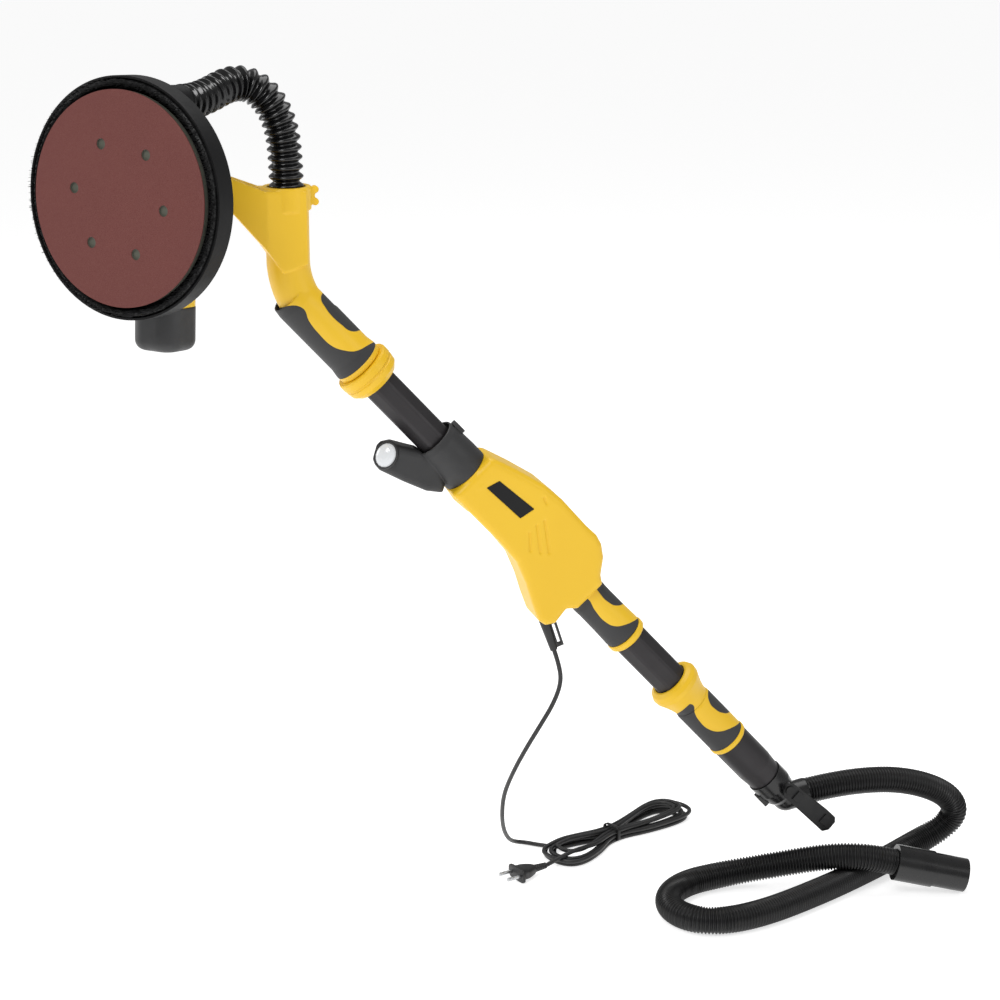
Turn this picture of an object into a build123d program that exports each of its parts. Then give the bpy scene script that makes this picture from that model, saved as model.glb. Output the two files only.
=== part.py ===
from build123d import *
import math
import os

os.makedirs("parts", exist_ok=True)

# Pole drywall sander, millimetres.
# Row frame: the pole lies in the XZ plane and slopes down towards +X, +Z is up,
# +Y is across. The origin is on the pole's axis, in the middle of the rear hand grip.
SLOPE = 47.67      # pole below the horizontal
YAW = 43.0         # head turned towards -Y from facing -X
TILT = 4.0         # head tipped up
S = (-458.8, 0, 527.5)   # vertical swivel axis of the head, at the arm's end
TC = -80.0         # tilt axis, ahead of the swivel axis in the head's own direction

POLE = Rot(0, SLOPE, 0)                       # local X runs down the pole, local Z is its upper side
YOKE = Pos(*S) * Rot(0, 0, YAW)               # local -X points at the wall
HEAD = YOKE * Pos(TC, 0, 0) * Rot(0, TILT, 0)  # local -X is the disc's outward normal

NODES = {}


def out(name, part, loc=None):
    if isinstance(part, (list, ShapeList)):
        part = Compound(children=list(part))
    if loc is not None:
        part = loc * part
    NODES[name] = part
    export_step(part, f"parts/{name}.step")


def cx(r, a, b, y=0, z=0):
    "cylinder along local X from a to b"
    return Pos((a + b) / 2, y, z) * Rot(0, 90, 0) * Cylinder(r, abs(b - a))


def cy(r, a, b, x=0, z=0):
    return Pos(x, (a + b) / 2, z) * Rot(90, 0, 0) * Cylinder(r, abs(b - a))


def cz(r, a, b, x=0, y=0):
    return Pos(x, y, (a + b) / 2) * Cylinder(r, abs(b - a))


def tube_x(ro, ri, a, b):
    return cx(ro, a, b) - cx(ri, a - 1, b + 1)


def tube_z(ro, ri, a, b, x=0, y=0):
    return cz(ro, a, b, x, y) - cz(ri, a - 1, b + 1, x, y)


def bx(x0, x1, y0, y1, z0, z1):
    return Pos((x0 + x1) / 2, (y0 + y1) / 2, (z0 + z1) / 2) * Box(x1 - x0, y1 - y0, z1 - z0)


def turn_x(pts):
    "solid of revolution about local X from (x, radius) points"
    face = make_face(Polyline(*[(x, r, 0) for x, r in pts], close=True))
    return revolve(face, Axis.X, 360)


def polar(n, fn, start=0.0):
    return [fn(start + 360.0 * i / n) for i in range(n)]


# ---------------------------------------------------------------- sanding head
# x = -65 is the abrasive's face. The motor stands upright behind the pad.
HOLES = [(60 * math.cos(math.radians(7 + 60 * i)), 60 * math.sin(math.radians(7 + 60 * i))) for i in range(6)]


def pierce(part, r, a, b):
    for y, z in HOLES:
        part -= cx(r, a, b, y, z)
    return part


out("sanding_disc", pierce(cx(112.5, -65, -64), 5.8, -70, -60), HEAD)
out("pad_foam", pierce(tube_x(111.5, 16, -64, -57), 5.8, -70, -61.5), HEAD)
plate = turn_x([(-57, 8.05), (-57, 110), (-54, 110), (-52, 40), (-50, 18), (-44, 16), (-44, 8.05)])
out("pad_plate", plate, HEAD)
out("pad_screw", turn_x([(-62.5, 0), (-62.5, 11), (-59, 13), (-57, 13), (-57, 4), (-44, 4), (-44, 0)]) - (cx(2.6, -70, -60)), HEAD)

GX = 13.0          # motor axis behind the tilt axis; also the bevel pair's apex
MOD = 4 / 3.0
ZG, ZP = 36, 12
RG, RP = MOD * ZG / 2, MOD * ZP / 2


def bevel_tooth(alpha, add, ded, th):
    "one straight tooth along the pitch line, apex at the origin, axis -X, in the XZ plane at -Z"
    R = math.hypot(RG, RP)
    secs = []
    for k in (1.0, 0.70):
        w_t, w_r = (th - 2 * add * 0.36) * k / 2, (th + 2 * ded * 0.36) * k / 2
        pl = Plane(origin=(0, 0, 0), x_dir=(0, 1, 0), z_dir=(-math.cos(alpha), 0, -math.sin(alpha)))
        pl = pl.offset(R * k)
        with BuildSketch(pl) as sk:
            with BuildLine():
                Polyline((-w_r, -ded * k), (w_r, -ded * k), (w_t, add * k), (-w_t, add * k), close=True)
            make_face()
        secs.append(sk.sketch.faces()[0])
    return loft(secs)


# spindle, gear and pinion: the wheel turns about local X, the pinion about local Z
alpha_g = math.atan2(RG, RP)          # pitch line direction from the apex: -X * RP, -Z * RG
gear_body = turn_x([(-8.4, 6), (-8.4, 25.2), (-7.0, 25.2), (-4.8, 17.5), (-4.8, 12), (-1.5, 12), (-1.5, 6)])
gear_body = turn_x([(GX - 13.5, 6), (GX - 13.5, 23.9), (GX - 10.3, 24.9), (GX - 6.9, 16.9), (GX - 5.0, 12), (GX - 3.5, 6)])
tooth_g = bevel_tooth(alpha_g, 1.0, 1.9, 1.5)
# the wheel's teeth stand towards the apex side (+X), the pinion's towards its own axis's outside
gear = gear_body
for i in range(ZG):
    gear += Pos(GX, 0, 0) * Rot(360.0 * i / ZG, 0, 0) * tooth_g
out("bevel_wheel", gear, HEAD)
out("spindle", cx(8, -43.9, -31) + cx(8, -44, -14) + cx(6, -14, GX - 3.5) - cx(4, -60, -30), HEAD)

pin_body = Pos(GX, 0, 0) * (cz(4.02, -26, -14) + Pos(0, 0, 0) * revolve(
    make_face(Polyline((0, 0, -25.6), (6.6, 0, -25.6), (6.3, 0, -23.4), (4.6, 0, -16.0), (0, 0, -16.0), close=True)), Axis.Z, 360))
R0 = math.hypot(RG, RP)
pinion = pin_body
tp = bevel_tooth(alpha_g, 1.9, 1.0, 1.5)


def pinion_tooth():
    "tooth of the pinion: its tip points away from the pinion's axis, towards -X"
    secs = []
    for k in (1.0, 0.70):
        add, ded, th = 1.0, 1.9, 1.5
        w_t, w_r = (th - 2 * add * 0.36) * k / 2, (th + 2 * ded * 0.36) * k / 2
        pl = Plane(origin=(0, 0, 0), x_dir=(0, 1, 0), z_dir=(-math.cos(alpha_g), 0, -math.sin(alpha_g))).offset(R0 * k)
        with BuildSketch(pl) as sk:
            with BuildLine():
                Polyline((-w_r, ded * k), (w_r, ded * k), (w_t, -add * k), (-w_t, -add * k), close=True)
            make_face()
        secs.append(sk.sketch.faces()[0])
    return loft(secs)


pt = pinion_tooth()
for i in range(ZP):
    pinion += Pos(GX, 0, 0) * Rot(0, 0, 360.0 * (i + 0.5) / ZP) * pt
pinion -= cz(4.0, -40, 0, GX)
out("bevel_pinion", pinion, HEAD)

# motor's turning parts, about local Z through GX
out("rotor_shaft", cz(3.98, -158, -15, GX), HEAD)
arm_core = tube_z(16.4, 4, -112, -64, GX)
for a in polar(12, lambda a: a):
    arm_core -= Pos(GX, 0, 0) * Rot(0, 0, a) * bx(13.5, 17, -1.2, 1.2, -120, -50)
arm_core += tube_z(13.2, 4, -119, -112, GX) + tube_z(13.2, 4, -64, -59, GX)
com = tube_z(10, 4, -134, -119, GX)
for a in polar(16, lambda a: a):
    com -= Pos(GX, 0, 0) * Rot(0, 0, a) * bx(9, 11, -0.3, 0.3, -135, -120)
out("armature", arm_core + com, HEAD)
fan = tube_z(9, 4, -57, -46, GX) + tube_z(22.5, 4, -48, -46, GX)
for a in polar(9, lambda a: a):
    fan += Pos(GX, 0, 0) * Rot(0, 0, a) * bx(8, 22, -0.8, 0.8, -57, -47)
out("cooling_fan", fan, HEAD)
out("ball_bearings", [tube_z(10, 4.03, -157, -150, GX), tube_z(11, 4.03, -42, -34, GX), tube_x(15, 8.03, -26, -15)], HEAD)
stator = tube_z(24.4, 17, -108, -68, GX)
stator += tube_z(23.5, 18.5, -116, -108, GX) + tube_z(23.5, 18.5, -68, -60, GX)
out("stator", stator, HEAD)
out("carbon_brushes", [bx(GX - 3, GX + 3, 10.1, 24, -131, -124), bx(GX - 3, GX + 3, -24, -10.1, -131, -124)], HEAD)


def motor_body(w, d, z0, z1, r):
    b = Pos(GX, 0, (z0 + z1) / 2) * Box(w, d, z1 - z0)
    return fillet(b.edges().filter_by(Axis.Z), r)


# motor housing above, end cap below with its rounded bottom and air slots
mh = motor_body(57, 57, -118, -30, 20) - cz(24.45, -119, -44, GX) - cz(11.02, -60, -33.9, GX) - cz(8.5, -40, -20, GX)
out("motor_housing", mh, HEAD)
cap = motor_body(57.5, 57.5, -166, -118, 20)
cap = fillet(cap.faces().sort_by(Axis.Z)[0].edges(), 11)
cap = cap - cz(24.45, -146, -117, GX) - cz(4.6, -160, -150, GX) - cz(10.02, -157, -140, GX)
for i in range(4):
    z = -128 - 6.5 * i
    cap -= bx(GX + 22, GX + 40, -11, 11, z - 1.3, z + 1.3)
out("motor_end_cap", cap, HEAD)

# gear housing: round body behind the shroud with the tilt pivots on its sides
gh = cx(29.9, -26, 10) + fillet(motor_body(60, 60, -30, 33, 24).faces().sort_by(Axis.Z)[-1].edges(), 8)
gh += cy(12, -38, 38)
cav = cx(26.6, -15, 10.5) + Pos(GX, 0, 0) * cz(12.5, -30.5, 14)
gh = gh - cav - cx(8.5, -40, 0) - cx(15.0, -28.1, -15) - cy(5.03, 30, 60) - cy(5.03, -60, -30)
out("gear_housing", gh, HEAD)

# shroud: dished cover with a thick wall round the disc, dust port at the upper back
sh = turn_x([(-26.05, 17), (-26.05, 98), (-29, 116), (-35, 126.4), (-58, 126.4), (-58, 124), (-38, 124), (-33, 115), (-29.5, 98), (-29.5, 17)])
PY, PZ = -20.0, 98.0
sh += cx(18.5, -29.5, 12, PY, PZ)
sh -= cx(15.5, -29.6, 13, PY, PZ)
out("shroud", sh, HEAD)
out("brush_skirt", turn_x([(-39, 117), (-39, 123.9), (-66, 123.9), (-66, 113.6), (-60, 115.5)]), HEAD)

# ---------------------------------------------------------------- swivel yoke
yk = bx(-30, -18, -49, 49, -13, 13) + cz(11.5, -14, 14) + bx(-20, 0, -8, 8, -14, 14)
for y in (44.5, -44.5):
    yk += bx(TC, -24, y - 4.5, y + 4.5, -11, 11) + cy(13, y - 4.5, y + 4.5, TC)
yk = yk - cz(6.04, -20, 20) - cy(5.04, -60, 60, TC)
out("swivel_yoke", yk, YOKE)
out("tilt_bolts", [cy(11, 49.3, 57, TC) - cy(3, 55, 60, TC) + cy(5, 31, 50, TC), cy(11, -57, -49.3, TC) - cy(3, -60, -55, TC) + cy(5, -50, -31, TC)], YOKE)

# ---------------------------------------------------------------- neck and arm (row frame)
MX = -370.0        # dust mouth's vertical axis
tS = lambda t: (t * math.cos(math.radians(SLOPE)), 0, -t * math.sin(math.radians(SLOPE)))
zc = -MX * math.tan(math.radians(SLOPE))


def swept(r, path, start):
    pl = Plane(origin=start, z_dir=(path % 0))
    return sweep(pl * Circle(r), path=path)


neck_path = FilletPolyline((MX, 0, 512), (MX, 0, zc), tS(-438), radius=95)
neck_in = FilletPolyline((MX, 0, 520), (MX, 0, zc), tS(-500), radius=95)
outer = swept(24, neck_path, (MX, 0, 512))
outer += cz(27, 498, 524, MX)
outer += POLE * cx(28.5, -438, -431)
# arm from the neck up to the swivel ears
arm_side = make_face(Polyline((-352, 520), (-398, 522), (-432, 536), (-450, 544), (-459, 547), (-459, 508), (-450, 508), (-431, 497), (-398, 458), (-380, 432), (-352, 440), close=True))
# in plan it narrows from the neck's width to the ears
arm_plan = make_face(Polyline((-340, 25), (-396, 25), (-432, 15), (-480, 15), (-480, -15), (-432, -15), (-396, -25), (-340, -25), close=True))
arm = extrude(Plane.XZ * arm_side, 30, both=True) & extrude(Pos(0, 0, 400) * arm_plan, 200)
ears = cz(15, 508, 547, S[0])
arm += ears
arm -= cz(15.3, 513.2, 541.8, S[0])
# open top with crossed ribs
well = bx(-436, -399, -13, 13, 508, 560) - bx(-418.8, -416.8, -20, 20, 500, 560)
for x in (-408, -427.5):
    for a in (52, -52):
        well -= Pos(x, 0, 530) * Rot(0, 0, a) * Box(40, 1.8, 60)
arm -= well
arm -= cz(6.04, 490, 560, S[0])
neck = outer + arm
neck -= swept(20.5, neck_in, (MX, 0, 520))
neck -= cz(21, 505, 530, MX)
neck -= POLE * cx(21.5, -501, -420)
left = neck & bx(-700, 0, 0.0, 80, 0, 700)
right = neck & bx(-700, 0, -80, 0.0, 0, 700)
out("neck_left", left)
out("neck_right", right)
out("swivel_pin", cz(6, 503, 552, S[0]) + cz(9.5, 547.3, 552, S[0]) + cz(9, 503, 507.7, S[0]))
scr = []
for (x, z) in ((-387, 508), (-387, 486), (-381, 464)):
    scr.append(cy(3.2, 25.02, 27.4, x, z))
out("neck_screws", scr)
out("duct_clip", [cy(4.2, -4, 4, MX + 31.3, 519) + bx(MX + 27.05, MX + 31, -4, 4, 507, 520), cy(4.2, -4, 4, MX + 31.3, 505.5)])

GF = [(-546, 24.05), (-546, 25.5), (-535, 27), (-450, 27), (-440, 28.6), (-438.1, 28.6), (-438.1, 24.05)]
grip = turn_x(GF)
grip -= bx(-600, -500, -60, 60, 26, 80)
path_cut = swept(24.05, neck_in, (MX, 0, 520))
grip1 = (POLE * grip) - path_cut - cz(30, 395 + 50, 600, MX)
out("grip_front_cover", grip1)
# lock ring: two steps with a groove between
ring = turn_x([(-430.7, 22.2), (-430.7, 33), (-428.5, 34), (-421, 34), (-420, 32.6), (-418, 32.6), (-417, 33.4), (-410, 32.4), (-404, 27), (-403, 22.2)])
out("lock_ring_front", ring, POLE)

# ---------------------------------------------------------------- front tube, light collar, lamp


def rail(a, b, r, ri, flats=8, turn=22.5):
    "faceted extrusion, rounded between its flats"
    sk = Rot(0, 90, 0) * (RegularPolygon(r * 1.035, flats, rotation=turn))
    body = Pos(a, 0, 0) * extrude(sk, b - a, dir=(1, 0, 0)) & cx(r, a, b)
    return body - cx(ri, a - 1, b + 1)


out("front_tube", rail(-497, -196, 21, 18.4), POLE)
lc = turn_x([(-308, 21.35), (-308, 26.0), (-300, 28.2), (-270, 29.3), (-252, 29.3), (-252, 21.35)])
lc -= cx(24.2, -309, -294)
lc -= cx(21.35, -320, -240)
pod = make_face(Polyline((-262, -26), (-256, -36), (-272, -48), (-300, -59), (-330, -69), (-337, -66), (-346, -52), (-346, -45), (-340, -36), (-322, -26), (-312, -20), (-290, -15), close=True))
pod = extrude(Plane.XZ * fillet(pod.vertices(), 2.5), 18, both=True)
pod = fillet(pod.faces().sort_by(Axis.Y)[0].edges() + pod.faces().sort_by(Axis.Y)[-1].edges(), 8)
lc += pod
lc -= cx(24.2, -350, -296) + cx(21.35, -350, -240)
LV = Pos(-331, 0, -49) * Rot(0, -20, 0)
lc -= LV * cx(13.1, -24, -4)
lc -= LV * cx(9.1, -5, 4)
lc -= bx(-303.4, -288.6, -7.4, 7.4, 25, 40)
out("light_collar", lc, POLE)
out("lamp_bezel", tube_x(13, 10.6, -15, -6), POLE * LV)
dome = (Pos(-6, 0, 0) * Sphere(10.5) & cx(10.5, -17, -6)) + cx(10.5, -6, -4.2)
out("lamp_lens", dome, POLE * LV)
out("latch_lever", fillet(bx(-303, -289, -7, 7, 26.8, 32.4).edges().filter_by(Axis.Y), 1.2), POLE)

# ---------------------------------------------------------------- middle housing
OUTLINE = [(-252, 30), (-246, 34), (-216, 44), (-180, 54), (-150, 57), (-104, 56), (-88, 57), (-76, 54), (-62, 45), (-48, 28), (-38, 22), (-38, -19), (-48, -29), (-45, -50), (-52, -60), (-62, -62), (-84, -53), (-107, -42), (-135, -32), (-170, -29.5), (-252, -30)]


def inset(pts, d):
    "the outline moved inwards by d, corner by corner"
    res = []
    n = len(pts)
    for i in range(n):
        a, b, c = (Vector(*pts[k % n], 0) for k in (i - 1, i, i + 1))
        u1, u2 = (b - a).normalized(), (c - b).normalized()
        m = Vector(u1.Y + u2.Y, -u1.X - u2.X, 0)
        m = m * (1 / (m.length * max(0.6, m.length / 2)))
        q = b + m * d
        res.append((q.X, q.Y))
    return res


side = make_face(Polyline(*OUTLINE, close=True))
body = extrude(Plane.XZ * fillet(side.vertices(), 3), 32, both=True)
body = fillet(body.faces().sort_by(Axis.Y)[0].edges() + body.faces().sort_by(Axis.Y)[-1].edges(), 8)
body += turn_x([(-252, 0), (-252, 30), (-236, 32.5), (-215, 31), (-215, 0)])
body += cx(23.6, -40, -28)
inner_side = make_face(Polyline((-240, 26), (-214, 40), (-180, 50), (-104, 52), (-90, 53), (-66, 40), (-56, 24), (-56, -24), (-64, -50), (-84, -48), (-107, -37), (-135, -26), (-240, -24), close=True))
body -= extrude(Plane.XZ * inner_side, 27, both=True)
body -= cx(21.05, -260, -236)
body -= cx(22.05, -58, -20)
# moulded grooves in both flanks
SLOTS = ((-153, 4, -135, -12), (-154, 16, -124, -5), (-151, 26, -116, 2), (-172, 44, -163, 40))
for (t0, w0, t1, w1) in SLOTS:
    L = math.hypot(t1 - t0, w1 - w0)
    an = math.degrees(math.atan2(w1 - w0, t1 - t0))
    for y in (33.5, -33.5):
        body -= Pos((t0 + t1) / 2, y, (w0 + w1) / 2) * Rot(0, -an, 0) * Box(L, 6, 3.2)
# sockets: cable guard, switch and dial on the far flank
GUARD = Pos(-55, 0, -53) * Rot(0, 24.3, 0)
body -= GUARD * cx(5.05, -8, 14)
body -= Pos(-200, 30, 4) * Box(36, 12, 16)
body -= cy(11.04, 20, 60, -168, 30)
PLATE = [(-230, 4), (-225, 20), (-170, 26), (-174, 7)]
body -= Pos(0, -32.2, 0) * extrude(Plane.XZ * make_face(Polyline(*inset(PLATE, -0.25), close=True)), 1.0, both=True)
half_l = body & bx(-400, 100, 0, 100, -150, 150)
half_r = body & bx(-400, 100, -100, 0, -150, 150)
out("housing_left", half_l, POLE)
out("housing_right", half_r, POLE)
out("name_plate", Pos(0, -31.8, 0) * extrude(Plane.XZ * make_face(Polyline(*PLATE, close=True)), 0.55, both=True), POLE)
scr = []
for (t, w) in ((-240, 29), (-130, 49), (-78, 46), (-140, -25.5), (-60, 12)):
    scr.append(cy(3, 32.02, 34.2, t, w))
out("housing_screws", scr, POLE)
out("control_board", bx(-190, -110, -25.5, -23.5, -18, 30), POLE)
out("power_switch", bx(-209, -199, 24.7, 35.5, -2.5, 10.5), POLE)
dial = cy(11, 27.5, 33.8, -168, 30)
for a in polar(14, lambda a: a):
    dial -= Pos(-168, 0, 30) * Rot(0, a, 0) * Pos(11.3, 31, 0) * Box(1.6, 10, 1.6)
dial += cy(3, 18, 27.6, -168, 30)
out("speed_dial", dial, POLE)

# ---------------------------------------------------------------- middle and rear grips, tail
grip2 = turn_x([(-27.8, 22.05), (38.5, 22.05), (38.5, 24.2), (34, 24.4), (10, 23.6), (-16, 23.4), (-27.8, 23.8)])
out("grip_middle_cover", grip2, POLE)
r2 = turn_x([(38.8, 22.05), (38.8, 24.4), (40.5, 25.4), (45.5, 25.2), (47.5, 23.6), (47.5, 22.05)])
out("ring_middle", r2, POLE)
out("rear_tube", rail(-56, 232, 22, 19.4), POLE)
bulb = turn_x([(128, 22.4), (128, 25), (131, 30), (136, 32.5), (142, 32), (148, 29.5), (156, 26.5), (162, 24.8), (168, 23.6), (234, 23.5), (234, 22.4)])
out("rear_grip_shell", bulb, POLE)
g3 = turn_x([(170, 23.62), (174, 24.6), (238, 24.6), (238, 23.4), (234.1, 23.4), (234.0, 23.56)])
out("grip_rear_cover", g3, POLE)
r3 = turn_x([(238.3, 23.05), (238.3, 24.8), (240, 25.6), (243.5, 25.4), (245, 24.4), (245, 23.05)])
out("ring_rear", r3, POLE)
tail = turn_x([(234.3, 22.4), (234.3, 23.0), (245.3, 23.0), (245.3, 24.0), (296, 23.8), (317, 21.8), (317, 17.2), (292, 17.2), (292, 22.4)])
out("tail_tube", tail, POLE)
# adapter on the tail with its elbow turned level for the hose
KN = Vector(*tS(361))                    # the elbow's corner
HE = Vector(270, 0, -262)                # where the hose leaves the elbow


def rod(a, b, r):
    "cylinder from point a to point b"
    a, b = Vector(*a), Vector(*b)
    return extrude(Plane(origin=a, z_dir=b - a) * Circle(r), (b - a).length)


ad = POLE * turn_x([(317.2, 0), (317.2, 23.4), (336, 23.4), (350, 20.5), (356, 17.2), (361, 17.2), (361, 0)])
ad += Pos(*KN) * Sphere(17.2) + rod(KN, HE, 17.2)
ad -= Pos(*KN) * Sphere(14.6) + rod(KN, HE + (HE - KN), 14.6) + POLE * cx(14.6, 300, 361)
ad -= POLE * bx(330.6, 347.4, -7.4, 7.4, -30, -18.5)
boss = Pos(236, -27.6, -245) * cy(6.5, 3.4, 12)
ad = (ad + boss) - Pos(236, -27.6, -245) * cy(3.0, -6, 12) - POLE * cx(14.6, 300, 361) - Pos(*KN) * Sphere(14.6)
out("hose_adapter", ad)
out("adapter_button", fillet(bx(331, 347, -7, 7, -26.4, -20.4).edges().filter_by(Axis.Y), 1), POLE)

# hook arm beside the elbow
HK = Pos(236, -27.6, -245)
HOOK = [(-6, 6), (6, 7), (52, -33), (62, -43), (62, -50), (54, -59), (45, -60), (-8, -7)]
hook = extrude(Plane.XZ * make_face(Polyline(*HOOK, close=True)), 3, both=True)
hook = fillet(hook.edges().filter_by(Axis.Y), 3)
hook += Rot(0, 43, 0) * (bx(61, 78, -5, -3, -6.5, 6.5) + bx(10, 20, -5, -3, -6.5, 6.5))     # raised pads at the tip and the root
out("hook_arm", HK * (hook - cy(3.04, -5, 5)))
out("hook_pivot", HK * (cy(3, -5.2, 12) + cy(5.5, -5.2, -3.3)))

# ---------------------------------------------------------------- cable guard
gd = turn_x([(-7, 3.3), (-7, 5), (10, 5), (10.5, 6.4), (50, 4.4), (50, 3.3)])
clip = bx(14, 48, -2.5, 2.5, 4, 13) - bx(18, 44, -3, 3, 6.6, 10.4)
out("cord_guard", (gd + clip) - cx(3.3, -20, 60), POLE * GUARD)

# ---------------------------------------------------------------- power cable and hose


def cord_path(pts):
    "straight runs joined by the largest tangent arcs the runs allow"
    v = [Vector(*p) for p in pts]
    radii = []
    for a, b, c in zip(v, v[1:], v[2:]):
        turn = math.radians((b - a).get_angle(c - b))
        radii.append(0.45 * min((b - a).length, (c - b).length) / math.tan(turn / 2))
    return FilletPolyline(*pts, radius=radii), radii


def cord(name, pts, d):
    path, radii = cord_path(pts)
    body = sweep(Plane(origin=pts[0], z_dir=Vector(*pts[1]) - Vector(*pts[0])) * Circle(d / 2), path=path)
    print(name, "length", round(path.length), "volume ratio", round(body.volume / (math.pi * d * d / 4 * path.length), 3), "smallest radius", round(min(radii), 1), "turns", [round(r) for r in radii])
    runs = [(Vector(*b) - Vector(*a)).length for a, b in zip(pts, pts[1:])]
    print("   runs", [round(r) for r in runs])
    out(name, body)


GE = (POLE * GUARD * Pos(50, 0, 0)).position
CABLE_D, HOSE_D = 5.5, 33.0
FLOOR = -377.0
zc_ = FLOOR + CABLE_D / 2
cable_pts = [(GE.X, GE.Y, GE.Z), (-53, 0, -66), (-51, 2, -88), (-59, 6, -114), (-72, 14, -142), (-86, 28, -176), (-97, 48, -214), (-101, 78, -256), (-95, 108, -298), (-84, 138, -332),
             (-70, 164, -357), (-56, 184, -371), (-41, 185, zc_), (-27, 172, -373)]
cord("power_cable", cable_pts, CABLE_D)
HANK = [(-33, 104), (-20, 91), (0, 96), (28, 118), (61, 138), (101, 156), (135, 176), (167, 188), (192, 210), (204, 240), (190, 254), (164, 252), (129, 236), (90, 204), (43, 184), (4, 182), (-22, 160), (-36, 130)]
hank = make_face(Spline(HANK[0], *HANK[1:], periodic=True))
hank = Pos(0, 0, FLOOR) * extrude(hank, 22)
out("cable_hank", hank)
out("hank_tie", bx(66, 72, 132, 204, FLOOR + 22.1, FLOOR + 23.6) + bx(66, 72, 132, 133.5, FLOOR + 2, FLOOR + 23.6) + bx(66, 72, 202.5, 204, FLOOR + 2, FLOOR + 23.6))
PL = Pos(-67, 88, FLOOR + 9.1) * Rot(0, 0, 18)
plug = fillet(bx(-14, 10, -13, 13, -7.5, 7.5).edges().filter_by(Axis.X), 6.5) + bx(-17, -14, -18, 18, -9, 9) + cx(5, 10, 30)
out("plug_body", plug, PL)
out("plug_pins", [cx(2.4, -36, -17, 9.5), cx(2.4, -36, -17, -9.5)], PL)

zh = FLOOR + HOSE_D / 2
CA, CB = Vector(360, -77, -336), Vector(446, -97, -355.5)
HX = (HE - KN).normalized()
CU = (CB - CA).normalized()
hose_pts = [tuple(HE + HX * 1.2), (300, 0, -258), (345, 0, -256), (392, 1, -260), (436, 2, -273), (470, 4, -293), (483, 7, -317), (468, 13, -341), (432, 12, -356), (386, -12, zh), (336, -41, zh), (286, -68, zh), (234, -93, zh),
            (182, -115, zh), (134, -127, zh), (96, -124, zh), (72, -102, zh), (65, -70, zh), (78, -38, zh), (110, -14, zh), (150, -8, -359), (188, -12, -354), (226, -26, -345), (262, -42, -335), (296, -60, -327), (328, -73, -327), tuple(CA)]
cord("vacuum_hose", hose_pts, HOSE_D)
u = (CB - CA).normalized()
cuff = rod(CA, CA + u * 48, 22.5) - rod(CA - u * 5, CA + u * 60, 16.6)
out("hose_cuff", cuff)
noz = rod(CA + u * 48.3, CB, 21) - rod(CA + u * 40, CB + u * 5, 18)
out("hose_nozzle", noz)

# ribbed duct from the head's port to the neck's dust mouth
PM = (HEAD * Pos(12, PY, PZ)).position
DX = ((HEAD * Pos(1, 0, 0)).position - HEAD.position).normalized()
duct_pts = [tuple(PM + DX * 0.4), tuple(PM + DX * 28), (-424, 0, 640), (-395, 0, 629), (-377, 0, 600), (MX, 0, 565), (MX, 0, 524.2)]
dp, dr = cord_path(duct_pts)
duct = sweep(Plane(origin=duct_pts[0], z_dir=Vector(*duct_pts[1]) - Vector(*duct_pts[0])) * (Circle(19.4) - Circle(16)), path=dp)
print("duct", round(dp.length), [round(r) for r in dr], round(duct.volume / (math.pi * (19.4 ** 2 - 16 ** 2) * dp.length), 3))
out("bellows_duct", duct)
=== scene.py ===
"""
Looks of the pole drywall sander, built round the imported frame.
Metres, row frame: the pole lies in XZ and slopes down towards +X.
"""
import math
import random

import bpy
from mathutils import Matrix, Vector


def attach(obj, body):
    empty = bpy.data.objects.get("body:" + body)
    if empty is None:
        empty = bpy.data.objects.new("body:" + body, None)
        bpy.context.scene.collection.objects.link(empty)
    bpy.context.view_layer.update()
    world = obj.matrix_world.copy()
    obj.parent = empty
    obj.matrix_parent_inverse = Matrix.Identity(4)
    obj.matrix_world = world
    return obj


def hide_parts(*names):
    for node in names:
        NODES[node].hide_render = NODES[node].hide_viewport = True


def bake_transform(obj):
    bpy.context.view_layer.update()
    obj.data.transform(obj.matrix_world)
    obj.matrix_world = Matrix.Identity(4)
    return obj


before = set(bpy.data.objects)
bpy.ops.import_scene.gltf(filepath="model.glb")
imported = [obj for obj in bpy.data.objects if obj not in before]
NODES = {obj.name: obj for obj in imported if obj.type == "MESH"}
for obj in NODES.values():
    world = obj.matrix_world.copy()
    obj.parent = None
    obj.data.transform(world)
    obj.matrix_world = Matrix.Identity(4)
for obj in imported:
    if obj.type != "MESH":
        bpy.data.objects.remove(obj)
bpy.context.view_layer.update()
MM = 0.001


def turn(axis, deg):
    return Matrix.Rotation(math.radians(deg), 4, axis)


def move(x, y, z):
    return Matrix.Translation((x * MM, y * MM, z * MM))


# the part's own placements
SLOPE = 47.67       # the pole's fall below level, degrees
POLE = turn("Y", SLOPE)
YOKE = move(-458.8, 0, 527.5) @ turn("Z", 43)
HEAD = YOKE @ move(-80, 0, 0) @ turn("Y", 4)
PLUG = move(-67, 88, -367.9) @ turn("Z", 18)
GUARD = POLE @ move(-55, 0, -53) @ turn("Y", 24.3)
FLOOR = -377.0


# ------------------------------------------------------------------ camera, floor, light
cam = bpy.data.cameras.new("camera")
cam.lens, cam.sensor_width, cam.clip_end = 86.4, 36.0, 50
cam_o = bpy.data.objects.new("camera", cam)
right, up, fwd = Vector((0.9632, -0.2687, 0)), Vector((0.0741, 0.2655, 0.9613)), Vector((0.2583, 0.9259, -0.2756))
cam_o.matrix_world = Matrix.Translation((-0.8484, -2.5844, 0.9170)) @ Matrix((right, up, -fwd)).transposed().to_4x4()
bpy.context.scene.collection.objects.link(cam_o)
bpy.context.scene.camera = cam_o
bpy.context.scene.view_settings.view_transform = "Standard"


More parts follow.
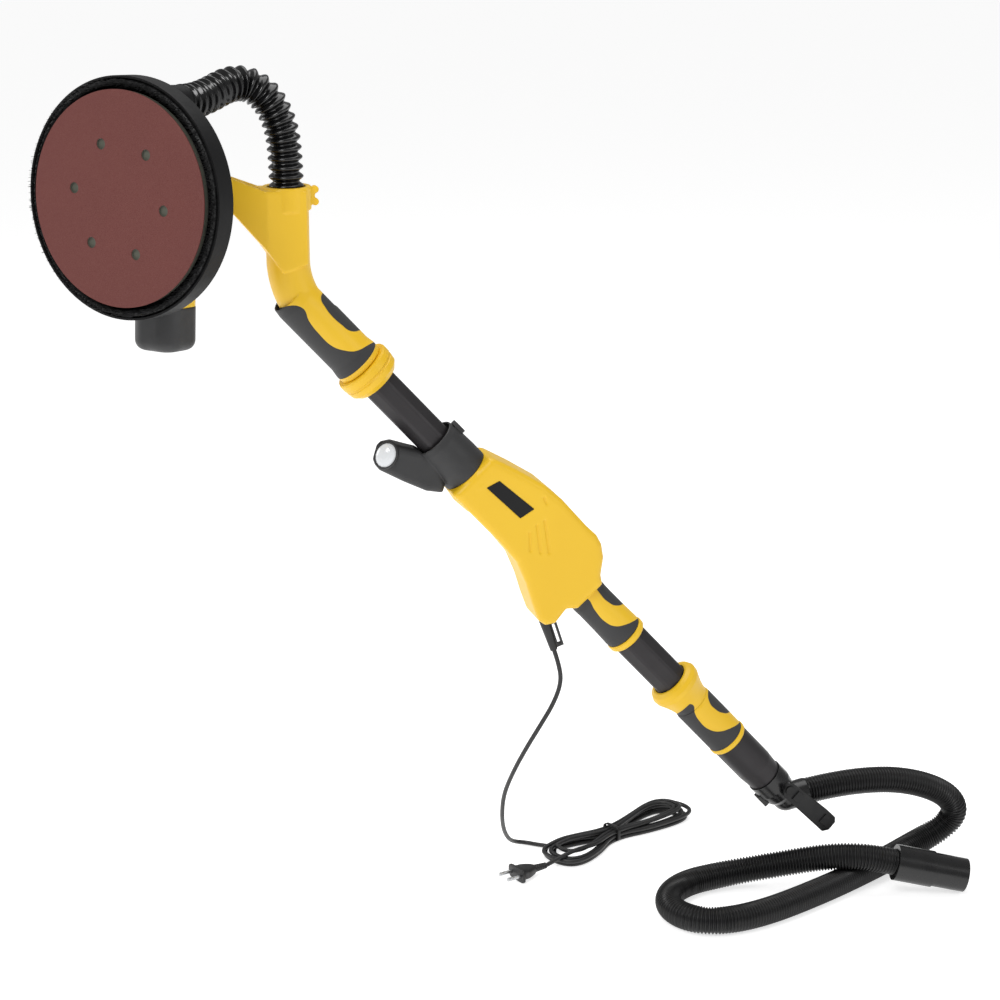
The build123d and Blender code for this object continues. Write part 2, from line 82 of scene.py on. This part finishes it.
def light(name, loc, target, size, power):
    d = bpy.data.lights.new(name, "AREA")
    d.shape, d.size, d.energy = "SQUARE", size, power
    o = bpy.data.objects.new(name, d)
    o.location = loc
    o.rotation_euler = (Vector(target) - Vector(loc)).to_track_quat("-Z", "Y").to_euler()
    bpy.context.scene.collection.objects.link(o)


light("key", (-1.7, -2.0, 2.4), (-0.1, 0, 0.1), 1.2, 41)
light("fill", (2.2, -2.2, 1.2), (0, 0, 0), 1.6, 15)
light("top", (0.1, 0.6, 2.8), (0, 0, 0), 2.4, 46)
light("rim", (-2.4, 1.4, 1.0), (0, 0, 0.1), 1.2, 18)
world = bpy.data.worlds.new("studio")
world.use_nodes = True
world.node_tree.nodes["Background"].inputs[0].default_value = (1, 1, 1, 1)
world.node_tree.nodes["Background"].inputs[1].default_value = 0.36
bpy.context.scene.world = world


# ------------------------------------------------------------------ material helpers
def srgb(r, g, b):
    def lin(c):
        c /= 255
        return c / 12.92 if c <= 0.04045 else ((c + 0.055) / 1.055) ** 2.4
    return (lin(r), lin(g), lin(b), 1)


class Mat:
    """a small node builder round one Principled shader"""

    def __init__(self, name, rough=0.5, **sockets):
        self.m = bpy.data.materials.new(name)
        self.m.use_nodes = True
        self.t = self.m.node_tree
        self.bsdf = self.t.nodes["Principled BSDF"]
        self.bsdf.inputs["Roughness"].default_value = rough
        for k, v in sockets.items():
            self.bsdf.inputs[k.replace("_", " ")].default_value = v
        self.coord = self.t.nodes.new("ShaderNodeTexCoord").outputs["Object"]
        self.normal = None

    def node(self, kind, ins=(), **props):
        n = self.t.nodes.new("ShaderNode" + kind)
        for k, v in props.items():
            setattr(n, k, v)
        for k, v in dict(ins).items():
            if isinstance(v, bpy.types.NodeSocket):
                self.t.links.new(v, n.inputs[k])
            else:
                n.inputs[k].default_value = v
        return n

    def math(self, op, a, b=0.0, c=0.0, clamp=False):
        return self.node("Math", {0: a, 1: b, 2: c}, operation=op, use_clamp=clamp).outputs[0]

    def noise(self, scale, detail=2.0, rough=0.5, coord=None):
        ins = {"Vector": coord or self.coord, "Scale": scale, "Detail": detail, "Roughness": rough}
        return self.node("TexNoise", ins).outputs["Fac"]

    def span(self, v, a, b, c, d):
        return self.node("MapRange", {0: v, 1: a, 2: b, 3: c, 4: d}).outputs[0]

    def mix(self, fac, a, b):
        n = self.t.nodes.new("ShaderNodeMix")
        n.data_type = "RGBA"
        for s, v in ((n.inputs[0], fac), (n.inputs[6], a), (n.inputs[7], b)):
            if isinstance(v, bpy.types.NodeSocket):
                self.t.links.new(v, s)
            else:
                s.default_value = v
        return n.outputs[2]

    def bump(self, height, strength, dist):
        ins = {"Height": height, "Strength": strength, "Distance": dist}
        if self.normal:
            ins["Normal"] = self.normal
        self.normal = self.node("Bump", ins).outputs[0]

    def soft_edges(self, radius):
        self.normal = self.node("Bevel", {"Radius": radius}, samples=4).outputs[0]

    def done(self, colour=None, rough=None):
        if colour is not None:
            if isinstance(colour, bpy.types.NodeSocket):
                self.t.links.new(colour, self.bsdf.inputs["Base Color"])
            else:
                self.bsdf.inputs["Base Color"].default_value = colour
        if rough is not None:
            self.t.links.new(rough, self.bsdf.inputs["Roughness"])
        if self.normal:
            self.t.links.new(self.normal, self.bsdf.inputs["Normal"])
        return self.m


def moulded(name, lo, hi, rough=(0.35, 0.5), grain=900, depth=0.00006, edge=0.0008, **sockets):
    """moulded plastic: faint tone drift, fine spark-eroded grain, rounded edges"""
    m = Mat(name, **sockets)
    if edge:
        m.soft_edges(edge)
    drift = m.noise(9, 3)
    m.bump(m.noise(grain, 3, 0.6), 0.35, depth)
    return m.done(m.mix(m.span(drift, 0.35, 0.65, 0, 1), lo, hi), m.span(m.noise(60, 4), 0.3, 0.7, *rough))


YELLOW_LO, YELLOW_HI = srgb(224, 178, 18), srgb(230, 187, 28)


def curve_value(m, t, t0, t1, points, lo=-60.0, hi=60.0):
    """a boundary w(t) along the pole as a smooth curve, in mm"""
    n = m.t.nodes.new("ShaderNodeFloatCurve")
    c = n.mapping.curves[0]
    pts = [((a - t0) / (t1 - t0), (b - lo) / (hi - lo)) for a, b in points]
    c.points[0].location, c.points[-1].location = pts[0], pts[-1]
    for p in pts[1:-1]:
        c.points.new(*p)
    n.mapping.update()
    m.t.links.new(m.span(t, t0, t1, 0, 1), n.inputs["Value"])
    return m.span(n.outputs[0], 0, 1, lo, hi)


LEAN = 400.0        # mm along the pole for each metre off its middle plane


def two_shot(name, bands, reach=40):
    """
    yellow shell with dark soft-touch insets.
    bands: (t0, t1, below or above, boundary points), in pole coordinates, mm
    """
    m = Mat(name)
    m.soft_edges(0.0008)
    xyz = m.node("SeparateXYZ", {0: m.coord}).outputs
    ca, sa = math.cos(math.radians(SLOPE)) * 1000, math.sin(math.radians(SLOPE)) * 1000
    t = m.math("MULTIPLY_ADD", xyz[0], ca, m.math("MULTIPLY", xyz[2], -sa))
    w = m.math("MULTIPLY_ADD", xyz[0], sa, m.math("MULTIPLY", xyz[2], ca))
    end = t
    # the insets lean forward towards the flanks
    t = m.math("MULTIPLY_ADD", m.math("ABSOLUTE", xyz[1]), LEAN, t)
    total = None
    for t0, t1, side, pts in bands:
        edge = curve_value(m, t, t0, t1, pts)
        d = m.math("SUBTRACT", edge, w) if side == "below" else m.math("SUBTRACT", w, edge)
        d = m.math("MINIMUM", d, m.math("SUBTRACT", t, t0 + 0.3))
        d = m.math("MINIMUM", d, m.math("SUBTRACT", t1, end))
        total = d if total is None else m.math("MAXIMUM", total, d)
    # the insets stay on the grip itself, within reach of its axis
    across = m.math("MULTIPLY", m.math("MULTIPLY", xyz[1], xyz[1]), 1e6)
    radius = m.math("SQRT", m.math("MULTIPLY_ADD", w, w, across))
    total = m.math("MINIMUM", total, m.math("SUBTRACT", reach, radius))
    dark = m.span(total, -0.2, 0.2, 0, 1)
    lip = m.math("SUBTRACT", 1.0, m.math("MULTIPLY", m.math("ABSOLUTE", total), 1.6), clamp=True)
    m.bump(m.math("SUBTRACT", 1.0, lip), 0.7, 0.0006)
    m.bump(m.noise(1100, 3, 0.6), 0.35, 0.00007)
    yellow = m.mix(m.noise(9, 3), YELLOW_LO, YELLOW_HI)
    rubber = m.mix(m.noise(25, 4), srgb(38, 38, 39), srgb(48, 48, 49))
    return m.done(m.mix(dark, yellow, rubber), m.span(dark, 0, 1, 0.42, 0.62))


FRONT = [(-560, -438, "below", [(-560, -30), (-545, -21), (-522, -2), (-506, -7), (-488, -9),
                                (-467, -8), (-454, -2), (-444, 7), (-440, 20), (-438, 40)]),
         (-523, -438, "above", [(-523, 36), (-520, 25), (-516, 20), (-505, 16.5), (-492, 15),
                                (-477, 16), (-466, 18), (-461, 23), (-456, 45), (-438, 55)])]
MIDDLE = [(-46, 39, "below", [(-46, -34), (-43, -24), (-38, -10), (-28, -3), (-10, -6),
                              (10, -7), (24, -2), (32, 8), (39, 24)]),
          (-50, 16, "above", [(-50, 38), (-46, 26), (-38, 17), (-20, 12), (-5, 12), (6, 16), (12, 24), (16, 40)])]
REAR = [(168, 239, "below", [(168, -4), (174, -2), (182, -7), (195, -10),
                             (212, -9), (224, -2), (232, 10), (239, 26)]),
        (172, 224, "above", [(172, 34), (177, 22), (186, 15), (200, 14), (210, 17), (218, 24), (224, 40)])]

MATS = {}
MATS["yellow"] = moulded("yellow_plastic", YELLOW_LO, YELLOW_HI)
MATS["front"] = two_shot("grip_front", FRONT)
MATS["middle"] = two_shot("grip_middle", MIDDLE, reach=26)
MATS["rear"] = two_shot("grip_rear", REAR)
MATS["grey"] = moulded("grey_plastic", srgb(33, 33, 34), srgb(42, 42, 43), (0.45, 0.6))
MATS["shroud"] = moulded("shroud_plastic", srgb(7, 7, 8), srgb(12, 12, 13), (0.5, 0.6), Specular_IOR_Level=0.2)
MATS["black"] = moulded("black_plastic", srgb(12, 12, 13), srgb(18, 18, 19), (0.38, 0.5), Specular_IOR_Level=0.35)
MATS["gloss"] = moulded("gloss_black", srgb(12, 12, 13), srgb(18, 18, 19), (0.22, 0.32), depth=0.00002)
MATS["rubber"] = moulded("cable_rubber", srgb(16, 16, 17), srgb(24, 24, 25), (0.4, 0.5), edge=0.0004)
MATS["hose"] = moulded("hose_plastic", srgb(8, 8, 9), srgb(14, 14, 15), (0.32, 0.42), edge=0, depth=0.00002,
                       Specular_IOR_Level=0.35)
MATS["duct"] = moulded("duct_plastic", srgb(8, 8, 9), srgb(13, 13, 14), (0.14, 0.22), edge=0, depth=0.00002)
MATS["screw"] = moulded("black_screw", srgb(30, 30, 30), srgb(40, 40, 40), (0.3, 0.4), Metallic=0.7)
MATS["label"] = moulded("label_black", srgb(6, 6, 7), srgb(10, 10, 11), (0.3, 0.36), depth=0.00001,
                        Specular_IOR_Level=0.25)
MATS["foam"] = moulded("foam", srgb(84, 86, 76), srgb(98, 99, 88), (0.85, 0.95), grain=500, depth=0.0004)
MATS["board"] = moulded("circuit_board", srgb(20, 80, 46), srgb(26, 94, 54), (0.4, 0.5))
MATS["carbon"] = moulded("carbon", srgb(35, 35, 36), srgb(45, 45, 46), (0.5, 0.6))
MATS["steel"] = moulded("steel", srgb(176, 178, 180), srgb(196, 197, 198), (0.2, 0.34), grain=400, Metallic=1.0)
MATS["copper"] = moulded("copper", srgb(184, 110, 66), srgb(206, 128, 82), (0.3, 0.45), Metallic=1.0)


def tube_paint():
    """satin dark anodised tube, drawn lines along its length"""
    m = Mat("black_tube", Metallic=0.35)
    m.soft_edges(0.0015)
    ins = {"Vector": m.coord, "Rotation": (0, math.radians(-SLOPE), 0), "Scale": (4, 700, 700)}
    rot = m.node("Mapping", ins).outputs[0]
    m.bump(m.noise(1.0, 2, coord=rot), 0.25, 0.00005)
    m.bump(m.noise(700, 3), 0.3, 0.00006)
    return m.done(m.mix(m.noise(8), srgb(34, 32, 34), srgb(43, 40, 42)), m.span(m.noise(50, 4), 0.3, 0.7, 0.38, 0.5))


def alloy():
    m = Mat("alloy", Metallic=0.6)
    m.soft_edges(0.001)
    m.bump(m.noise(350, 4, 0.7), 0.5, 0.00015)
    colour = m.mix(m.noise(20, 4), srgb(96, 97, 99), srgb(120, 121, 123))
    return m.done(colour, m.span(m.noise(40), 0.3, 0.7, 0.42, 0.6))


def abrasive():
    """aluminium oxide grains on a reddish brown ground"""
    m = Mat("abrasive", 0.9)
    v = m.node("TexVoronoi", {"Vector": m.coord, "Scale": 2600.0}).outputs
    tone = m.span(m.noise(6, 5, 0.6), 0.3, 0.7, 0, 1)
    base = m.mix(tone, srgb(90, 40, 37), srgb(99, 47, 43))
    # lighter flecks: partly the grains' own lighter tone, partly painted glints of light on the grains
    base = m.mix(m.span(m.noise(1500, 2), 0.35, 0.7, 0, 1), base, srgb(112, 64, 58))
    base = m.mix(m.span(v["Distance"], 0.0, 0.5, 0.35, 0), base, srgb(70, 34, 32))
    m.bump(v["Distance"], 0.6, 0.00025)
    m.bump(m.noise(900, 3), 0.4, 0.0002)
    return m.done(base)


def lens():
    m = Mat("lamp_lens", 0.1)
    r = m.node("TexVoronoi", {"Vector": m.coord, "Scale": 240.0}).outputs["Distance"]
    m.bump(r, 0.2, 0.0004)
    m.bsdf.inputs["Emission Color"].default_value = (1, 1, 1, 1)
    m.bsdf.inputs["Emission Strength"].default_value = 0.3
    return m.done(srgb(172, 175, 178))


MATS["tube"], MATS["alloy"], MATS["abrasive"], MATS["lens"] = tube_paint(), alloy(), abrasive(), lens()
MATS["bristle"] = moulded("bristle", srgb(9, 9, 10), srgb(18, 18, 19), (0.5, 0.7), edge=0)

FINISH = {
    "yellow": "neck_left neck_right motor_housing lock_ring_front ring_middle ring_rear duct_clip",
    "front": "grip_front_cover",
    "middle": "housing_left housing_right grip_middle_cover",
    "rear": "rear_grip_shell grip_rear_cover",
    "shroud": "shroud",
    "grey": "motor_end_cap light_collar lamp_bezel latch_lever",
    "black": "pad_plate cooling_fan tilt_bolts power_switch speed_dial hook_arm",
    "gloss": "hose_adapter adapter_button hose_cuff hose_nozzle",
    "rubber": "cord_guard plug_body cable_hank power_cable hank_tie",
    "hose": "vacuum_hose", "duct": "bellows_duct", "label": "name_plate",
    "screw": "neck_screws housing_screws hook_pivot",
    "foam": "pad_foam", "board": "control_board", "carbon": "carbon_brushes",
    "steel": "pad_screw bevel_wheel spindle bevel_pinion rotor_shaft ball_bearings swivel_pin plug_pins",
    "copper": "armature stator", "tube": "front_tube rear_tube tail_tube", "alloy": "gear_housing swivel_yoke",
    "abrasive": "sanding_disc", "lens": "lamp_lens", "bristle": "brush_skirt",
}
for key, names in FINISH.items():
    for n in names.split():
        NODES[n].data.materials.clear()
        NODES[n].data.materials.append(MATS[key])


# ------------------------------------------------------------------ mesh helpers
def piece(name, verts, faces, mat, smooth=True):
    me = bpy.data.meshes.new(name)
    me.from_pydata([tuple(v) for v in verts], [], faces)
    me.materials.append(mat)
    if smooth:
        for p in me.polygons:
            p.use_smooth = True
    me.update()
    o = bpy.data.objects.new(name, me)
    bpy.context.scene.collection.objects.link(o)
    return o


def rings(rows, closed=False):
    """faces between rows of equal length, capped at both ends unless closed"""
    n, faces = len(rows[0]), []
    verts = [v for r in rows for v in r]
    last = len(rows) if closed else len(rows) - 1
    for i in range(last):
        j = (i + 1) % len(rows)
        for k in range(n):
            l = (k + 1) % n
            faces.append((i * n + k, i * n + l, j * n + l, j * n + k))
    if not closed:
        faces.append(tuple(range(n))[::-1])
        faces.append(tuple(range((len(rows) - 1) * n, len(rows) * n)))
    return verts, faces


def spline(name, points, radius=0.0):
    """a smooth cord line through control points in mm"""
    c = bpy.data.curves.new(name, "CURVE")
    c.dimensions = "3D"
    s = c.splines.new("NURBS")
    s.points.add(len(points) - 1)
    for p, q in zip(s.points, points):
        p.co = (q[0] * MM, q[1] * MM, q[2] * MM, 1)
    s.order_u = 3
    s.use_endpoint_u = True
    s.resolution_u = 12
    c.bevel_depth = radius * MM
    c.bevel_resolution = 5
    c.use_fill_caps = True
    o = bpy.data.objects.new(name, c)
    bpy.context.scene.collection.objects.link(o)
    return o


def line_of(points):
    """points along the smooth line, read from the spline itself"""
    o = spline("route", points)
    bpy.context.view_layer.update()
    me = bpy.data.meshes.new_from_object(o)
    pts = [v.co.copy() for v in me.vertices]
    bpy.data.meshes.remove(me)
    bpy.data.objects.remove(o)
    return pts


def even(pts, step):
    """the line resampled evenly, about step metres apart"""
    ds = [0.0]
    for a, b in zip(pts, pts[1:]):
        ds.append(ds[-1] + (b - a).length)
    n = max(2, round(ds[-1] / step))
    res, k = [], 0
    for i in range(n + 1):
        d = ds[-1] * i / n
        while k < len(ds) - 2 and ds[k + 1] < d:
            k += 1
        f = (d - ds[k]) / max(1e-12, ds[k + 1] - ds[k])
        res.append(pts[k].lerp(pts[k + 1], f))
    return res, ds[-1]


def ribbed(name, pts, radius_at, step, segs, mat):
    """tube along a line with a radius that depends on the distance along it"""
    line, total = even(pts, step)
    tang = [(line[min(i + 1, len(line) - 1)] - line[max(i - 1, 0)]).normalized() for i in range(len(line))]
    side = tang[0].orthogonal().normalized()
    rows = []
    for i, (p, t) in enumerate(zip(line, tang)):
        side = (side - t * side.dot(t)).normalized()
        other = t.cross(side)
        r = radius_at(total * i / (len(line) - 1), total)
        angles = [2 * math.pi * k / segs for k in range(segs)]
        rows.append([p + (side * math.cos(a) + other * math.sin(a)) * r for a in angles])
    return piece(name, *rings(rows), mat), total


def softened(name, nodes, voxel, rounds, mat, body):
    """the moulded shape of CAD nodes with its corners melted together, as one skin"""
    verts, faces = [], []
    for n in nodes:
        me = NODES[n].data
        k = len(verts)
        verts += [v.co.copy() for v in me.vertices]
        faces += [tuple(k + i for i in p.vertices) for p in me.polygons]
    o = piece(name, verts, faces, mat)
    r = o.modifiers.new("skin", "REMESH")
    r.mode, r.voxel_size, r.use_smooth_shade = "VOXEL", voxel, True
    sm = o.modifiers.new("soft", "SMOOTH")
    sm.factor, sm.iterations = 0.5, rounds
    bpy.context.view_layer.update()
    me = bpy.data.meshes.new_from_object(o.evaluated_get(bpy.context.evaluated_depsgraph_get()))
    o.modifiers.clear()
    o.data = me
    me.materials.clear()
    me.materials.append(mat)
    for p in me.polygons:
        p.use_smooth = True
    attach(o, body)
    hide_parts(*nodes)
    return o


softened("housing_shell", ["housing_left", "housing_right", "grip_middle_cover"], 0.0009, 6,
         MATS["middle"], "housing")
light_pod = softened("light_pod", ["light_collar"], 0.0008, 8, MATS["grey"], "housing")
# the softened pod keeps clear of the latch lever over its whole press, with a gap all round
LATCH_PRESS, LATCH_GAP = 0.0015, 0.0006
to_pole = POLE.inverted()
lever = [to_pole @ v.co for v in NODES["latch_lever"].data.vertices]
low = [min(q[i] for q in lever) - LATCH_GAP for i in range(3)]
high = [max(q[i] for q in lever) + LATCH_GAP for i in range(3)]
low[2] -= LATCH_PRESS
for v in light_pod.data.vertices:
    q = to_pole @ v.co
    if all(low[i] < q[i] < high[i] for i in range(3)):
        walls = [(q[0] - low[0], 0, low[0]), (high[0] - q[0], 0, high[0]),
                 (q[1] - low[1], 1, low[1]), (high[1] - q[1], 1, high[1]),
                 (q[2] - low[2], 2, low[2])]
        _, i, wall = min(walls)
        q[i] = wall
        v.co = POLE @ q
softened("neck_shell", ["neck_left", "neck_right", "duct_clip", "grip_front_cover"], 0.0009, 5,
         MATS["front"], "neck")
softened("motor_cap_shell", ["motor_end_cap"], 0.0012, 4, MATS["grey"], "head")


# ------------------------------------------------------------------ lamp
# a faceted dome in a dark rim, facing forward and to the near side
LAMP = POLE @ move(-328, 0, -49) @ turn("Y", -20) @ move(-10.5, -15.0, 1) @ turn("Z", 55)
TALL = 1.22         # the lamp is an oval, this much taller than wide
FACETS = 18
# radius and height above the lamp's own plane, mm
DOME = ((0.5, 7.0), (4, 6.6), (7.5, 5.4), (10.2, 3.4), (11.6, 0.8), (11.6, -3))
RIM = ((11.7, -4), (11.7, 1.2), (12.6, 2.0), (13.6, 1.2), (13.9, -2), (12.6, -8), (9.0, -15))


def on_lamp(r, h, a):
    return LAMP @ Vector((-h * MM, r * MM * math.cos(a), TALL * r * MM * math.sin(a)))


rows = [[on_lamp(r, h, 2 * math.pi * k / FACETS) for k in range(FACETS)] for r, h in DOME]
dome = piece("lamp_dome", *rings(rows), MATS["lens"], smooth=False)
rows = [[on_lamp(r, h, 2 * math.pi * k / 40) for r, h in RIM] for k in range(40)]
rim = piece("lamp_rim", *rings(rows, closed=True), MATS["grey"])
for o, n, sl in ((dome, "lamp_lens", "lamp_lens"), (rim, "lamp_bezel", "grey_plastic")):
    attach(o, "housing")
    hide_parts(n)


# ------------------------------------------------------------------ ribbed dust duct, in two pieces that share the yoke's ring
PORT = HEAD @ Vector((0.012, -0.020, 0.098))
DX = (HEAD.to_3x3() @ Vector((1, 0, 0))).normalized()
duct_line = line_of([p / MM for p in (PORT + DX * 0.0004, PORT + DX * 0.028)]
                    + [(-424, 0, 640), (-395, 0, 629), (-377, 0, 600), (-370, 0, 565), (-370, 0, 524.2)])
duct_line, duct_len = even(duct_line, 0.0007)
YOKE_SHARE = 0.36   # where along the duct the two pieces meet
cut = round(len(duct_line) * YOKE_SHARE)
PITCH = duct_len / 22
DUCT_ROOT, DUCT_RIB = 0.0146, 0.0047


def duct_radius(offset):
    def at(d, total):
        x = ((d + offset) / PITCH) % 1.0
        big = 0.5 + 0.5 * math.cos(2 * math.pi * x)
        return DUCT_ROOT + DUCT_RIB * big ** 0.85
    return at


lower = duct_len * cut / (len(duct_line) - 1)
duct_a, _ = ribbed("duct_head_half", duct_line[:cut + 1], duct_radius(0), 0.0007, 48, MATS["duct"])
duct_b, _ = ribbed("duct_neck_half", duct_line[cut:], duct_radius(lower), 0.0007, 48, MATS["duct"])
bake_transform(duct_a)
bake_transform(duct_b)
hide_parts("bellows_duct")


# ------------------------------------------------------------------ bristle skirt
rnd = random.Random(7)
# the dense root of the skirt: distance along the spindle and radius, mm
ROOT_BAND = ((-39, 117.5), (-39, 123), (-52, 123), (-58, 121.5), (-60, 118.5), (-58, 116.5), (-50, 116))
rows = []
for k in range(120):
    a = 2 * math.pi * k / 120
    rows.append([HEAD @ Vector((x * MM, r * MM * math.cos(a), r * MM * math.sin(a))) for x, r in ROOT_BAND])
verts, faces = rings(rows, closed=True)
N_HAIR = 2600
for i in range(N_HAIR):
    a = 2 * math.pi * (i + rnd.random() * 0.8) / N_HAIR
    root = rnd.uniform(116.8, 122.2)
    tip = min(123.8, max(113.7, root + rnd.uniform(-2.6, 1.6)))
    da = rnd.uniform(-1.6, 1.6) / 118
    x1 = rnd.uniform(-66, -63.2)
    lo, hi = rnd.uniform(0.35, 0.5), 0.18
    k0 = len(verts)
    for x, r, ang, w in ((-52, root, a, lo), (x1, tip, a + da, hi)):
        for j in range(3):
            b = 2 * math.pi * j / 3
            rr, aa = r + w * math.cos(b), ang + w * math.sin(b) / 118
            verts.append(HEAD @ Vector((x * MM, rr * MM * math.cos(aa), rr * MM * math.sin(aa))))
    faces += [(k0 + j, k0 + (j + 1) % 3, k0 + 3 + (j + 1) % 3, k0 + 3 + j) for j in range(3)]
    faces.append((k0 + 3, k0 + 4, k0 + 5))
skirt = piece("bristles", verts, faces, MATS["bristle"], smooth=False)
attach(skirt, "head")
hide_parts("brush_skirt")


# ------------------------------------------------------------------ vacuum hose
KN = Vector((243.09, 0, -266.87))
HE = Vector((270, 0, -262))
HX = (HE - KN).normalized()
CA, CB = Vector((360, -77, -336)), Vector((446, -97, -355.5))
zh = FLOOR + 16.5
hose_points = [tuple(HE + HX * 1.2), (300, 0, -258), (345, 0, -256), (392, 1, -260), (436, 2, -273),
               (470, 4, -293), (483, 7, -317), (468, 13, -341), (432, 12, -356), (386, -12, zh),
               (336, -41, zh), (286, -68, zh), (234, -93, zh), (182, -115, zh), (134, -127, zh),
               (96, -124, zh), (72, -102, zh), (65, -70, zh), (78, -38, zh), (110, -14, zh),
               (150, -8, -359), (188, -12, -354), (226, -26, -345), (262, -42, -335), (296, -60, -327),
               (328, -73, -327), tuple(CA)]
hose_line = line_of(hose_points)
RIB, HOSE_ROOT, HOSE_RIB = 0.0038, 0.0141, 0.0024


def hose_radius(d, total):
    x = (d / RIB) % 1.0
    return HOSE_ROOT + HOSE_RIB * (0.5 + 0.5 * math.cos(2 * math.pi * x)) ** 0.9


hose, _ = ribbed("hose", hose_line, hose_radius, RIB / 6, 40, MATS["hose"])
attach(hose, "tail")
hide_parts("vacuum_hose")


# ------------------------------------------------------------------ mains cable: free stretch, tied hank, plug
GE = GUARD @ Vector((0.050, 0, 0))
zc = FLOOR + 2.75
cable_points = [tuple(GE / MM), (-53, 0, -66), (-51, 2, -88), (-59, 6, -114), (-72, 14, -142),
                (-86, 28, -176), (-97, 48, -214), (-101, 78, -256), (-95, 108, -298), (-84, 138, -332),
                (-70, 164, -357), (-56, 184, -371), (-41, 185, zc), (-27, 172, zc + 0.4)]
U, W, MID = Vector((0.886, 0.464)), Vector((-0.464, 0.886)), Vector((72, 170))
# each turn: right reach, right half width, left reach, left half width, layer, place at the tie
TURNS = [(118, 20, 96, 22, 0, 2.9), (124, 24, 102, 27, 1, 2.9), (112, 18, 92, 18, 2, 3.0),
         (130, 27, 107, 31, 0, 8.6), (136, 30, 111, 34, 1, 8.6), (121, 22, 99, 25, 2, 8.7)]
for er, wr, el, wl, layer, tie in TURNS:
    z = zc + 5.6 * layer
    lift = z + 1.6 * layer
    for a, b, h in ((-el * 0.74, wl, z), (-46, wl * 0.75, z), (-14, tie, z), (14, tie, z),
                    (50, wr * 0.72, z), (er * 0.74, wr, lift), (er * 0.93, wr * 0.8, lift), (er, 0, lift),
                    (er * 0.95, -wr * 0.78, lift), (er * 0.76, -wr, lift), (50, -wr * 0.72, z),
                    (14, -tie, z), (-14, -tie, z), (-46, -wl * 0.75, z), (-el * 0.76, -wl, z),
                    (-el * 0.95, -wl * 0.75, z), (-el, 0, z), (-el * 0.94, wl * 0.78, z)):
        q = MID + U * a + W * b
        cable_points.append((q.x, q.y, h))
# the last turn stops short of the left loop and runs over it, straight into the plug
del cable_points[-4:]
for a, b, z in ((-74, -18, zc + 13.5), (-98, -16, zc + 13)):
    q = MID + U * a + W * b
    cable_points.append((q.x, q.y, z))
cable_points.append(tuple((PLUG @ Vector((0.030, 0, 0))) / MM))
cable = spline("mains_cable", cable_points, 2.75)
cable.data.materials.append(MATS["rubber"])
bpy.context.view_layer.update()
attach(cable, "housing")
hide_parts("power_cable", "cable_hank")

# tie round the waist of the hank: half width, half height, height of its middle, mm
TIE_WIDE, TIE_HIGH, TIE_MIDDLE, SQUARE = 12.6, 9.4, 10.4, 0.4
rows = []
for k in range(40):
    a = 2 * math.pi * k / 40
    c, s = math.cos(a), math.sin(a)
    b = TIE_WIDE * abs(c) ** SQUARE * (1 if c > 0 else -1)
    h = TIE_HIGH * abs(s) ** SQUARE * (1 if s > 0 else -1)
    row = []
    for off, t in ((-2.6, 0.0), (2.6, 0.0), (2.6, 0.9), (0.8, 1.2), (-0.8, 1.2), (-2.6, 0.9)):
        q = MID + U * off + W * (b + t * c)
        row.append(Vector((q.x * MM, q.y * MM, (FLOOR + TIE_MIDDLE + h + t * s * 0.8) * MM)))
    rows.append(row)
tie = piece("cable_tie", *rings(rows, closed=True), MATS["black"])
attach(tie, "housing")
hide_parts("hank_tie")


def section(x, hy, hz, power, n=40):
    """rounded section across the plug at x, in mm"""
    row = []
    for k in range(n):
        a = 2 * math.pi * k / n
        c, s = math.cos(a), math.sin(a)
        y = hy * MM * abs(c) ** power * (1 if c >= 0 else -1)
        z = hz * MM * abs(s) ** power * (1 if s >= 0 else -1)
        row.append(PLUG @ Vector((x * MM, y, z)))
    return row


sections = [(-17, 17.2, 8.4, 0.5), (-16.6, 18, 9, 0.5), (-14.6, 18, 9, 0.5), (-14.2, 17, 8.4, 0.5),
            (-13.8, 13, 7.4, 0.55), (-4, 12.6, 7.4, 0.6), (2, 10.5, 7.2, 0.7), (7, 8.2, 6.6, 0.85),
            (10, 6.4, 5.6, 1.0)]
# the ribbed strain relief
for i in range(5):
    x = 11 + 3.6 * i
    r = 5.0 - 0.25 * i
    groove = r - 1.1
    sections += [(x, groove, groove, 1.0), (x + 0.5, groove, groove, 1.0), (x + 0.8, r, r, 1.0),
                 (x + 2.6, r - 0.1, r - 0.1, 1.0), (x + 2.9, groove, groove, 1.0)]
plug = piece("plug_shell", *rings([section(*s) for s in sections]), MATS["rubber"])
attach(plug, "housing")
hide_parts("plug_body")


# ------------------------------------------------------------------ floor
me = bpy.data.meshes.new("floor")
me.from_pydata([(-60, -60, 0), (60, -60, 0), (60, 60, 0), (-60, 60, 0)], [], [(0, 1, 2, 3)])
floor = bpy.data.objects.new("floor", me)
floor.location.z = (FLOOR - 0.4) * MM
bpy.context.scene.collection.objects.link(floor)
fm = Mat("floor", 0.9)
fm.bsdf.inputs["Emission Color"].default_value = (1, 1, 1, 1)
fm.bsdf.inputs["Emission Strength"].default_value = 0.66
me.materials.append(fm.done((0.8, 0.8, 0.8, 1)))
